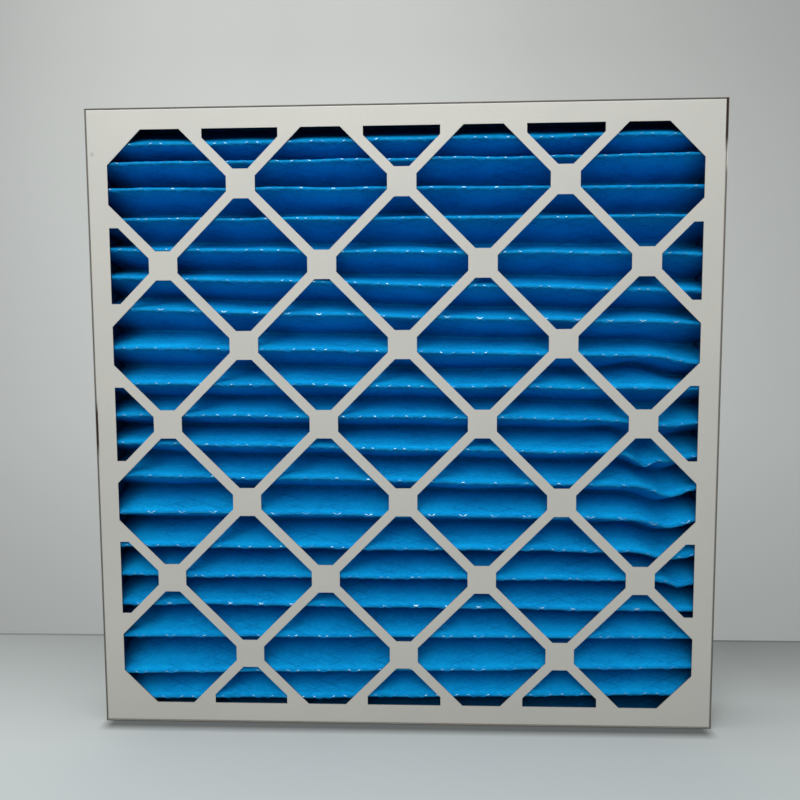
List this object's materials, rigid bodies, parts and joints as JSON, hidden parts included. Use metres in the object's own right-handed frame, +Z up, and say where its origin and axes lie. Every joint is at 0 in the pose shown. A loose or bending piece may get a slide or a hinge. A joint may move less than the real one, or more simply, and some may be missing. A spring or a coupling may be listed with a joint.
{
  "type": "pleated panel air filter",
  "caption": "Square pleated panel air filter: blue pleated sheet with expanded metal, in a folded board frame with a diagonal lattice over each face.",
  "frame": {"origin": "middle of the bottom edge, under the centre of the bounding box", "axes": "+Z up the height, +X along the pleats to the right of the air-leaving face, which looks along -Y; thickness along Y"},
  "size_m": [0.495, 0.045, 0.495],
  "materials": {
    "board": "matt off-white coated board with raw grey-brown cut edges",
    "filter_sheet": "lofted bright blue nonwoven",
    "expanded_metal": "thin galvanised expanded metal",
    "adhesive": "hardened white adhesive"
  },
  "bodies": {
    "root": {"front_frame": "board", "rear_frame": "board", "pleated_media": "filter_sheet", "wire_backing": "expanded_metal", "left_seal": "adhesive", "right_seal": "adhesive", "top_seal": "adhesive", "bottom_seal": "adhesive"}
  },
  "joints": []
}
